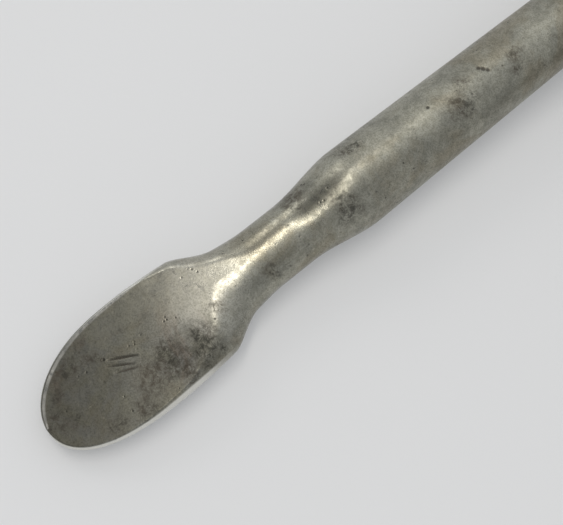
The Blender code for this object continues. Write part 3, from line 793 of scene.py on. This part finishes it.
def make_ferrule():
    top = SHAFT_TOP - HANDLE_LENGTH
    steps = [
        (0.35, 9.0), (1.0, 8.85), (1.3, 8.2), (1.3, 7.5), (1.0, 7.3), (1.3, 7.1),
        (1.3, 6.5), (0.8, 6.0), (0.75, 4.5), (0.8, 3.0), (1.3, 2.5), (1.3, 1.9),
        (1.0, 1.7), (1.3, 1.5), (1.3, 0.8), (1.0, 0.15), (0.35, 0.0), (0.0, 0.0), (0.0, 9.0),
    ]
    profile = [(FERRULE_BORE + wall * MM, height * MM) for wall, height in steps]
    mesh = turned("ferrule", profile, 128, closed=True)
    place(add_object("ferrule", mesh), "speculum", NICKEL,
          at(HANDLE_X, top - 7 * MM, 0, ALONG_Y), ["handle_ferrule"])


def catmull(rows, count):
    """Rows of numbers joined by one smooth curve, as count rows."""
    rows = np.array(rows, float)
    ghost = np.vstack([2 * rows[0] - rows[1], rows, 2 * rows[-1] - rows[-2]])
    made = []
    for k in range(count):
        place_on = (len(rows) - 1) * k / (count - 1)
        i = min(int(place_on), len(rows) - 2)
        t = place_on - i
        a, b, c, d = ghost[i : i + 4]
        made.append(0.5 * (
            2 * b + (c - a) * t + (2 * a - 5 * b + 4 * c - d) * t * t
            + (3 * b - a - 3 * c + d) * t ** 3
        ))
    return made


def mouth_flare(x):
    share = max(0.0, 1 - x / FLARE_END)
    return (MOUTH_RADIUS - BORE_RADIUS - WALL) * share * share


def make_arm():
    top = SHAFT_TOP - HANDLE_LENGTH
    collar = scaled([
        (0, 3.6), (5.65, 3.6), (5.7, 3.2), (6.3, 2.6), (6.5, 2.3), (6.5, 0.8), (6.0, 0.3), (0, 0.3),
    ])
    place(add_object("arm_collar", turned("arm_collar", collar, 128)), "speculum", NICKEL,
          at(HANDLE_X, top, 0, ALONG_Y))
    stations = [
        (3.0, 5.7, 5.7), (5.5, 5.4, 5.3), (8.0, 6.2, 5.5), (10.5, 8.2, 6.0),
        (13.0, 11.2, 6.9), (14.8, 13.4, 7.7), (16.0, 14.0, 8.1),
    ]
    rows = [*catmull(stations, 70), np.array((21.5, 14.0, 8.1))]
    count = 128
    rings = []
    for over, half_x, half_z in rows:
        ring = []
        for i in range(count):
            a = 2 * math.pi * i / count
            point = Vector((
                HANDLE_X + half_x * MM * math.cos(a), top + over * MM, half_z * MM * math.sin(a),
            ))
            swell = 1 + noise.noise(point * 150) * 0.004
            point.x = HANDLE_X + (point.x - HANDLE_X) * swell
            point.z *= swell
            ring.append(point)
        rings.append(ring)
    stops = [k * 1.0 * MM for k in range(-4, 15)] + [50 * MM]
    seat = [(BORE_RADIUS + WALL + 0.02 * MM + mouth_flare(max(0.0, x)), x) for x in reversed(stops)]
    seat = [(0, seat[0][1]), *seat, (0, seat[-1][1])]
    cutter = turned("seat", seat, 160, rounding=0.001 * MM)
    cutter.transform(ALONG_X)
    mesh = boolean("arm", grid_mesh("arm", rings), cutter, "DIFFERENCE")
    mesh.shade_smooth()
    obj = soften(add_object("arm", mesh), 0.1 * MM, 50, 2)
    place(obj, "speculum", NICKEL, nodes=["handle_arm"])
    make_solder_line()


def tube_curve(name, points, radius, cyclic=False, radii=None, resolution=4):
    curve = bpy.data.curves.new(name, "CURVE")
    curve.dimensions = "3D"
    curve.bevel_depth = radius
    curve.bevel_resolution = resolution
    curve.use_fill_caps = True
    spline = curve.splines.new("POLY")
    spline.points.add(len(points) - 1)
    for i, point in enumerate(points):
        spline.points[i].co = (*point, 1)
        spline.points[i].radius = radii[i] if radii else 1.0
    spline.use_cyclic_u = cyclic
    return curve


def make_solder_line():
    """The bright line of silver solder where the arm's foot meets the speculum."""
    points, radii = [], []
    for i in range(180):
        a = 2 * math.pi * i / 180
        x = HANDLE_X + (FOOT_HALF_X + 0.05 * MM) * math.cos(a)
        z = (FOOT_HALF_Z + 0.05 * MM) * math.sin(a)
        outer = BORE_RADIUS + WALL + mouth_flare(x) + 0.05 * MM
        points.append(Vector((x, -math.sqrt(outer * outer - z * z), z)))
        radii.append(1 + 0.35 * noise.noise(points[-1] * 600))
    obj = add_object("arm_solder", tube_curve("arm_solder", points, 0.32 * MM, True, radii))
    place(obj, "speculum", SCREW_STEEL)


# The speculum ---------------------------------------------------------------
def beak_end(angle):
    share = (1 - math.cos(angle)) / 2
    near = (1 - math.cos(EDGE_ANGLE)) / 2
    share = max(0.0, (share - near) / (1 - near))
    return BEAK_SHOULDER + (BEAK_LENGTH - BEAK_SHOULDER) * share ** 1.5


def trough_radius(x, end):
    lip = max(0.0, 1 - (end - x) / LIP_FLARE)
    outside = BORE_RADIUS + WALL + mouth_flare(x)
    return outside + (RIM_RADIUS - BORE_RADIUS - WALL) * lip * lip


def round_point(x, radius, angle):
    return Vector((x, radius * math.cos(angle), radius * math.sin(angle)))


def sheet(name, rows, columns, locate, thickness, even=True):
    """An open sheet of points, thickened inwards."""
    points = [locate(row, i / columns) for row in rows for i in range(columns + 1)]
    wide = columns + 1
    faces = [
        (r * wide + i, r * wide + i + 1, (r + 1) * wide + i + 1, (r + 1) * wide + i)
        for r in range(len(rows) - 1)
        for i in range(columns)
    ]
    mesh = bpy.data.meshes.new(name)
    mesh.from_pydata(points, [], faces)
    mesh.shade_smooth()
    obj = add_object(name, mesh)
    thick = obj.modifiers.new("thickness", "SOLIDIFY")
    thick.thickness = thickness
    thick.offset = -1
    thick.use_even_offset = even
    return obj


def make_trough():
    near = [0.75 * MM * k for k in range(25)]
    middle = [18 * MM + 3 * MM * k for k in range(1, 43)]
    far = [LIP_FLARE * 1.6 * (1 - k / 26) for k in range(27)]
    rows = [("near", x) for x in near + middle] + [("far", x) for x in far]

    def locate(row, share):
        kind, x = row
        widen = 1 - smooth(x, 14 * MM, 18 * MM) if kind == "near" else 0.0
        limit = EDGE_ANGLE + (MOUTH_EDGE_ANGLE - EDGE_ANGLE) * widen
        angle = limit + (2 * math.pi - 2 * limit) * share
        end = beak_end(angle)
        if kind == "far":
            x = end - x
        point = round_point(x, trough_radius(x, end), angle)
        dent = min(0.0, noise.noise(point * 60) * 0.05 * MM)
        return round_point(x, trough_radius(x, end) + dent, angle)

    obj = soften(sheet("trough", rows, 110, locate, WALL), 0.3 * MM)
    place(obj, "speculum", NICKEL, nodes=["speculum_trough"])


def make_mouth_ring():
    bead = 0.9 * MM
    ring = RIM_RADIUS - bead
    start = MOUTH_EDGE_ANGLE + math.radians(1)
    count = 160
    points, radii = [], []
    for i in range(count):
        share = i / (count - 1)
        angle = start + (2 * math.pi - 2 * start) * share
        points.append(round_point(-bead - SOLDER_GAP, ring, angle))
        close = min(share, 1 - share) * count / 6
        radii.append(math.sqrt(max(0.05, 1 - (1 - min(1.0, close)) ** 2)))
    curve = tube_curve("mouth_bead", points, bead, radii=radii, resolution=8)
    obj = add_object("mouth_bead", curve)
    place(obj, "speculum", NICKEL, nodes=["mouth_ring"])


def prism(name, outline, low, high):
    """An outline of (y, z) points drawn along X, with closed ends."""
    rings = [[Vector((x, y, z)) for y, z in outline] for x in (low, high)]
    return grid_mesh(name, rings)


def make_rail(name, node, side):
    foot = BORE_RADIUS + WALL + SOLDER_GAP
    under = SLIDE_OUTER + 0.2 * MM
    top = under + 0.7 * MM
    hook, channel, outside = (math.radians(a) for a in (46, 54, 64))
    steps = 10

    def arc(radius, start, end):
        angles = [start + (end - start) * i / steps for i in range(steps + 1)]
        return [(radius * math.cos(a), side * radius * math.sin(a)) for a in angles]

    path = arc(top, hook, outside) + arc(foot, outside, channel) + arc(under, channel, hook)
    obj = add_object(name, prism(name, path, RAIL_START, RAIL_END))
    soften(obj, 0.16 * MM)
    place(obj, "speculum", NICKEL, nodes=[node])


def dome(head_radius, head_height):
    points = [
        (head_radius * math.sin(math.radians(6 * k)), head_height * math.cos(math.radians(6 * k)))
        for k in range(15)
    ]
    return [*points, (head_radius, 0), (head_radius * 0.8, -0.2), (0, -0.2)]


def make_rivet(name, node, body, matrix, head_radius, head_height):
    mesh = turned(name, scaled(dome(head_radius, head_height)), 64, rounding=0.03 * MM)
    place(add_object(name, mesh), body, NICKEL, matrix, [node])


def make_saddle_rivets():
    for side, x in (("rear", 11 * MM), ("front", 25 * MM)):
        inside = -(BORE_RADIUS + mouth_flare(x)) + SOLDER_GAP + 0.25 * MM
        make_rivet(f"saddle_rivet_{side}_head", f"saddle_rivet_{side}", "speculum",
                   at(x, inside, 0, ALONG_Y), 2.4, 0.7)


def make_slide():
    nose = 5 * MM
    count = 64
    straight = [SLIDE_START + (SLIDE_END - nose - SLIDE_START) * k / count for k in range(count)]
    curved = [nose * k / 12 for k in range(13)]
    rows = [(x, None) for x in straight] + [(None, x) for x in curved]

    def locate(row, share):
        x, along = row
        angle = SLIDE_EDGE_ANGLE * (2 * share - 1)
        if x is None:
            room = nose * (1 - 0.98 * abs(2 * share - 1) ** 4)
            x = SLIDE_END - nose + room * along / nose
        return round_point(x, SLIDE_OUTER, angle)

    obj = soften(sheet("slide", rows, 60, locate, SLIDE_THICKNESS), 0.25 * MM)
    place(obj, "slide", NICKEL, nodes=["slide_cover"])


def make_thumb_tab():
    foot_inner = SLIDE_OUTER + SOLDER_GAP
    foot_thickness = 1.0 * MM
    length = 15 * MM - SLIDE_START
    corner = 2.4 * MM
    limit = math.radians(26)

    def locate(row, share):
        x, trim = row
        angle = limit * (2 * share - 1) * trim
        return round_point(x, foot_inner + foot_thickness, angle)

    rows = [(SLIDE_START + (length - corner) * k / 20, 1.0) for k in range(21)]
    for k in range(1, 11):
        turn = math.pi / 2 * k / 10
        x = SLIDE_START + length - corner + corner * math.sin(turn)
        rows.append((x, 1 - 0.42 * (1 - math.cos(turn))))
    foot = bake(sheet("foot", rows, 40, locate, foot_thickness, even=False))

    half, height, low = 7.5 * MM, 13 * MM, 11.6 * MM
    crown = low + height - half
    turns = [math.pi * i / 48 for i in range(49)]
    outline = [(low, -4.6 * MM), (low + 1.5 * MM, -4.8 * MM), (low + 3 * MM, -5.4 * MM)]
    outline += [(crown + half * math.sin(a), -half * math.cos(a)) for a in turns]
    outline += [(low + 3 * MM, 5.4 * MM), (low + 1.5 * MM, 4.8 * MM), (low, 4.6 * MM)]
    upright = prism("upright", outline, -0.65 * MM, 0.65 * MM)
    lean = Matrix.Translation((2.6 * MM, low, 0)) @ Matrix.Rotation(math.radians(14), 4, "Z")
    lean = lean @ Matrix.Translation((-0.6 * MM, -low, 0))
    upright.transform(lean)
    joined = boolean("thumb_tab", foot, upright, "UNION")
    bore = cutting_rod("bore", foot_inner, -20 * MM, 40 * MM, 256)
    bore.transform(ALONG_X)
    mesh = boolean("thumb_tab", joined, bore, "DIFFERENCE")
    mesh.shade_smooth()
    obj = soften(add_object("thumb_tab", mesh), 0.22 * MM, 30)
    place(obj, "slide", NICKEL, nodes=["slide_thumb_tab"])

    for k in range(5):
        y = low + (4.6 + 1.35 * k) * MM
        reach = 5.0 * MM - 0.28 * MM * max(0, k - 2) ** 2
        ends = [Vector((-0.66 * MM, y, reach * (j / 12 - 1))) for j in range(25)]
        radii = [min(1.0, 0.3 + 0.25 * min(j, 24 - j)) for j in range(25)]
        rib = add_object(f"tab_rib_{k + 1}", tube_curve("rib", ends, 0.28 * MM, radii=radii))
        place(rib, "slide", NICKEL, lean)

    for side, x in (("rear", 7.5 * MM), ("front", 12 * MM)):
        head = foot_inner + foot_thickness
        make_rivet(f"slide_rivet_{side}_head", f"slide_rivet_{side}", "slide",
                   at(x, head, 0, ALONG_Y), 1.7, 0.95)


# The light ------------------------------------------------------------------
def make_canal_and_block():
    length = CANAL_END - CANAL_START
    profile = [(CANAL_RADIUS, length), (CANAL_RADIUS, 0), (CANAL_BORE, 0), (CANAL_BORE, length)]
    canal = turned("canal", profile, 64, closed=True)
    place(add_object("canal", canal), "speculum", NICKEL,
          at(CANAL_START, 0, CANAL_Z, ALONG_X), ["light_canal"])

    mesh = primitive("block", bmesh.ops.create_cube, size=1)
    size = (BLOCK_FRONT - BLOCK_BACK, BLOCK_SIDE, BLOCK_SIDE)
    mesh.transform(Matrix.Translation(((BLOCK_BACK + BLOCK_FRONT) / 2, 0, BLOCK_Z))
                   @ Matrix.Diagonal((*size, 1)))
    hole = cutting_rod("hole", CANAL_RADIUS + 0.03 * MM, -20 * MM, 20 * MM, 64)
    hole.transform(at(0, 0, CANAL_Z, ALONG_X))
    mesh = boolean("block", mesh, hole, "DIFFERENCE")
    mesh.shade_smooth()
    obj = soften(add_object("block", mesh), 0.55 * MM, 60, 4)
    place(obj, "speculum", NICKEL, nodes=["carrier_block"])


def make_lock_screw():
    shank_end = CANAL_Z + 1.5 * MM - LOCK_SEAT
    profile = scaled([
        (0, 4.1), (1.2, 4.1), (1.6, 4.3), (2.6, 4.3), (3.4, 3.7), (3.4, 1.3), (2.9, 0.8),
        (1.9, 0.8), (1.9, 0.2), (1.05, 0.2),
    ])
    profile += [(1.05 * MM, shank_end + 0.4 * MM), (0.6 * MM, shank_end), (0, shank_end)]
    bands = [
        knurl(1.25 * MM, 3.75 * MM, 44, 0.26 * MM),
        thread(shank_end + 0.4 * MM, 0.2 * MM, 0.5 * MM, 0.16 * MM),
    ]
    mesh = turned("thumb_screw", profile, 264, bands=bands)
    place(add_object("thumb_screw", mesh), "lock_screw", SCREW_STEEL,
          at(LOCK_X, 0, LOCK_SEAT), ["lock_screw"])


def carrier_piece(name, mesh, look, node, body="light_carrier"):
    matrix = at(0, 0, CANAL_Z, ALONG_X)
    place(add_object(name, mesh), body, look, matrix, [node] if node else [])


def make_light_carrier():
    outer = CANAL_BORE - RUNNING_GAP
    stem = [(outer, STEM_END), (outer, STEM_START), (0.75 * MM, STEM_START), (0.75 * MM, STEM_END)]
    carrier_piece("stem", turned("stem", stem, 56, closed=True), SCREW_STEEL,
                  "carrier_stem")

    front = BLOCK_BACK - 0.3 * MM
    hub = scaled([
        (2.6, 0.0), (3.2, -0.3), (3.7, -0.9), (3.7, -4.0), (3.2, -4.6), (2.5, -4.9),
        (2.4, -6.4), (1.35, -6.4), (1.35, 0.0),
    ], front)
    bands = [knurl(front - 4.0 * MM, front - 0.9 * MM, 48, 0.24 * MM)]
    carrier_piece("hub", turned("hub", hub, 288, closed=True, bands=bands), NICKEL, "carrier_hub")

    cap = front - 6.6 * MM
    bush = scaled([
        (2.3, 0), (2.7, -0.4), (2.7, -1.2), (2.5, -1.4), (2.5, -1.7), (2.7, -1.9), (2.7, -3.2),
        (2.1, -3.8), (1.0, -3.8), (1.0, 0),
    ], cap)
    carrier_piece("bush", turned("bush", bush, 96, closed=True), VULCANITE,
                  "carrier_insulator")

    end = cap - 10 * MM
    back = STEM_START - 0.3 * MM
    pin = [(0, back), (0.85 * MM, back)]
    pin += scaled([(0.85, -4.2), (1.35, -4.4), (1.35, -5.4), (0.95, -5.8)], cap)
    pin += [(0.95 * MM, end + 0.7 * MM), (0.55 * MM, end), (0, end)]
    bands = [thread(end + 0.8 * MM, cap - 6.0 * MM, 0.45 * MM, 0.13 * MM)]
    carrier_piece("pin", turned("pin", pin, 72, bands=bands), BRASS, "contact_pin")

    sleeve = scaled([
        (1.3, 147.4), (1.3, 143.2), (0.6, 143.2), (0.6, 144.2), (1.1, 144.4), (1.1, 147.4),
    ])
    carrier_piece("sleeve", turned("sleeve", sleeve, 72, closed=True, rounding=0.06 * MM),
                  NICKEL, "lamp_socket")

    base = scaled([
        (0, 0), (0.95, 0), (0.95, -0.4), (1.04, -0.5), (1.04, -0.7), (0.95, -0.8),
        (0.95, -2.5), (0.5, -2.8), (0, -2.8),
    ], LAMP_SEAT)
    bands = [thread(LAMP_SEAT - 2.4 * MM, LAMP_SEAT - 0.9 * MM, 0.35 * MM, 0.09 * MM)]
    carrier_piece("cap", turned("cap", base, 72, rounding=0.05 * MM, bands=bands), BRASS,
                  "lamp_base", "lamp")


def bulb_outline(inset):
    """Half of the bulb's outline from its neck to its tip, with the sealed pip on top."""
    radius = 1.25 * MM - inset
    wall = [(radius * 0.74, 0.1 * MM), (radius * 0.92, 0.45 * MM), (radius, 0.9 * MM)]
    crown = 3.2 * MM
    made = [*wall, (radius, crown)]
    steps = 22
    for k in range(1, steps):
        a = math.pi / 2 * k / steps
        made.append((radius * math.cos(a), crown + (1.1 * MM - inset) * math.sin(a)))
    if inset == 0:
        made += [(0.16 * MM, crown + 1.12 * MM), (0.10 * MM, crown + 1.24 * MM)]
    return [*made, (0, crown + (1.3 * MM if inset == 0 else 1.1 * MM - inset))]


def make_bulb():
    seat = LAMP_SEAT
    outside = [(r, h + seat) for r, h in bulb_outline(0)]
    inside = [(r, h + seat) for r, h in bulb_outline(0.13 * MM)]
    steps = 72
    angles = [2 * math.pi * i / steps for i in range(steps)]
    rings = [
        [Vector((0, 0, h))] if r < 1e-9
        else [Vector((r * math.cos(a), r * math.sin(a), h)) for a in angles]
        for r, h in [*reversed(outside), *inside]
    ]
    carrier_piece("bulb", grid_mesh("bulb", rings), GLASS, "lamp_bulb", "lamp")

    foot = Vector((0.42 * MM, 0, seat + 0.05 * MM))
    wires = [foot]
    for k in range(25):
        turn = math.pi * k / 24
        wires.append(Vector((foot.x * math.cos(turn), 0,
                             seat + 1.9 * MM + 0.75 * MM * math.sin(turn))))
    wires.append(Vector((-foot.x, 0, foot.z)))
    carrier_piece("filament", tube_curve("filament", wires, 0.06 * MM), TUNGSTEN, None, "lamp")
    outline = scaled([(0, 0.95), (0.42, 0.9), (0.62, 0.6), (0.42, 0.3), (0, 0.25)], seat)
    bead = turned("bead", outline, 48, rounding=0.05 * MM)
    carrier_piece("glass_bead", bead, GLASS, None, "lamp")


def finish_inner_nodes():
    """The wire and its beads sit inside the stem and keep their CAD shapes."""
    for node, (finish, _) in (
        ("carrier_conductor", BRASS),
        ("insulating_bead_rear", VULCANITE),
        ("insulating_bead_front", VULCANITE),
    ):
        for slot in frame["nodes"][node].material_slots:
            slot.link = "OBJECT"
            slot.material = finish


# The studio -----------------------------------------------------------------
def make_floor():
    """Pale paper with a little light of its own, which keeps the shadows soft."""
    n = Nodes("pale_paper")
    cloud = n.noise(9, 4, 0.5)
    colour = n.mix(cloud, rgb(0.575, 0.580, 0.592), rgb(0.595, 0.600, 0.612))
    normal = n.bump(n.noise(900, 3, 0.6), 0.06, 0.2 * MM)
    paper = n.finish(
        Base_Color=colour, Roughness=0.85, Normal=normal,
        Emission_Color=rgb(0.98, 0.99, 1.0), Emission_Strength=0.20,
    )
    mesh = primitive("floor", bmesh.ops.create_grid, x_segments=1, y_segments=1, size=3.0)
    floor = add_object("floor", mesh)
    mesh.materials.append(paper)
    floor.location.z = CAD_BOX[0].z


# How the room darkens: the direction, where its shade starts and is full, and its level.
HORIZON = 1.2
ROOM = [
    ((0.0, 0.0, 1.0), 0.3, 0.95, 0.80),
    ((-1.0, 0.0, 0.2), 0.2, 0.9, 0.62),
    ((1.0, 0.0, 0.3), 0.2, 0.9, 0.48),
    ((-0.25, -0.6, 0.74), 0.66, 0.95, 0.25),
    ((-0.3, -0.95, 0.2), 0.3, 0.9, 0.5),
]


def make_world():
    """A pale room, darker overhead where the camera and its holder stand."""
    world = bpy.data.worlds.new("room")
    bpy.context.scene.world = world
    world.use_nodes = True
    tree = world.node_tree
    background = tree.nodes["Background"]
    direction = tree.nodes.new("ShaderNodeTexCoord").outputs["Generated"]
    strength = None
    for aim, start, end, level in ROOM:
        toward = tree.nodes.new("ShaderNodeVectorMath")
        toward.operation = "DOT_PRODUCT"
        tree.links.new(direction, toward.inputs[0])
        toward.inputs[1].default_value = Vector(aim).normalized()
        ramp = tree.nodes.new("ShaderNodeMapRange")
        ramp.interpolation_type = "SMOOTHSTEP"
        ends = {"From Min": start, "From Max": end, "To Min": 1.0, "To Max": level}
        for key, value in ends.items():
            ramp.inputs[key].default_value = value
        tree.links.new(toward.outputs["Value"], ramp.inputs["Value"])
        product = tree.nodes.new("ShaderNodeMath")
        product.operation = "MULTIPLY"
        tree.links.new(ramp.outputs["Result"], product.inputs[0])
        product.inputs[1].default_value = HORIZON
        if strength:
            tree.links.new(strength, product.inputs[1])
        strength = product.outputs["Value"]
    tree.links.new(strength, background.inputs["Strength"])
    background.inputs["Color"].default_value = (0.96, 0.98, 1.0, 1.0)


# Lights: name, direction, distance, width and height in m, power in W, and colour.
LIGHTS = [
    ("ceiling", (-0.08, -0.07, 0.98), 0.7, (0.60, 0.10), 1.3, (1.0, 0.95, 0.86)),
    ("window", (-0.76, 0.02, 0.62), 1.0, (0.30, 0.30), 0.6, (1.0, 0.97, 0.91)),
]
LIGHTS_AIM = 55 * MM


def make_light(target, name, direction, distance, size, power, colour):
    """A soft rectangular light that faces the target."""
    light = bpy.data.lights.new(name, "AREA")
    light.shape = "RECTANGLE"
    light.size, light.size_y = size
    light.energy = power
    light.color = colour
    obj = add_object(name, light)
    aim = Vector(direction).normalized()
    obj.location = target + aim * distance
    obj.rotation_mode = "QUATERNION"
    obj.rotation_quaternion = aim.to_track_quat("Z", "Y")


# The camera: its direction, its lens in mm, and how far it is from the handle's middle and tip.
CAMERA_TURN = math.radians(140.7)
CAMERA_DROP = math.radians(70)
CAMERA_LENS = 56.3
CAMERA_ACROSS = 42.2 * MM
CAMERA_ALONG = 14.85 * MM
CAMERA_HEIGHT = 147.4 * MM


def make_camera(middle, tip):
    """Looks down on the paddle end at the photograph's angle."""
    flat = math.cos(CAMERA_DROP)
    forward = Vector((
        math.cos(CAMERA_TURN) * flat, math.sin(CAMERA_TURN) * flat, -math.sin(CAMERA_DROP),
    ))
    right = Vector((math.sin(CAMERA_TURN), -math.cos(CAMERA_TURN), 0))
    up = right.cross(forward)
    camera = bpy.data.cameras.new("camera")
    camera.lens = CAMERA_LENS
    camera.sensor_width = 36
    camera.clip_start = 0.005
    obj = add_object("camera", camera)
    spot = Vector((middle + CAMERA_ACROSS, tip + CAMERA_ALONG, CAMERA_HEIGHT))
    axes = Matrix((right, up, -forward)).transposed()
    obj.matrix_world = Matrix.Translation(spot) @ axes.to_4x4()
    bpy.context.scene.camera = obj


def make_studio():
    make_floor()
    make_world()
    low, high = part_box("handle_shaft")
    middle = (low.x + high.x) / 2
    for light in LIGHTS:
        make_light(Vector((middle, low.y + LIGHTS_AIM, 0)), *light)
    make_camera(middle, low.y)
    bpy.context.scene.view_settings.view_transform = "Standard"


def main():
    make_handle()
    make_ferrule()
    make_arm()
    make_trough()
    make_mouth_ring()
    make_rail("rail_upper", "slide_rail_upper", 1)
    make_rail("rail_lower", "slide_rail_lower", -1)
    make_saddle_rivets()
    make_slide()
    make_thumb_tab()
    make_canal_and_block()
    make_lock_screw()
    make_light_carrier()
    make_bulb()
    finish_inner_nodes()
    make_studio()


main()
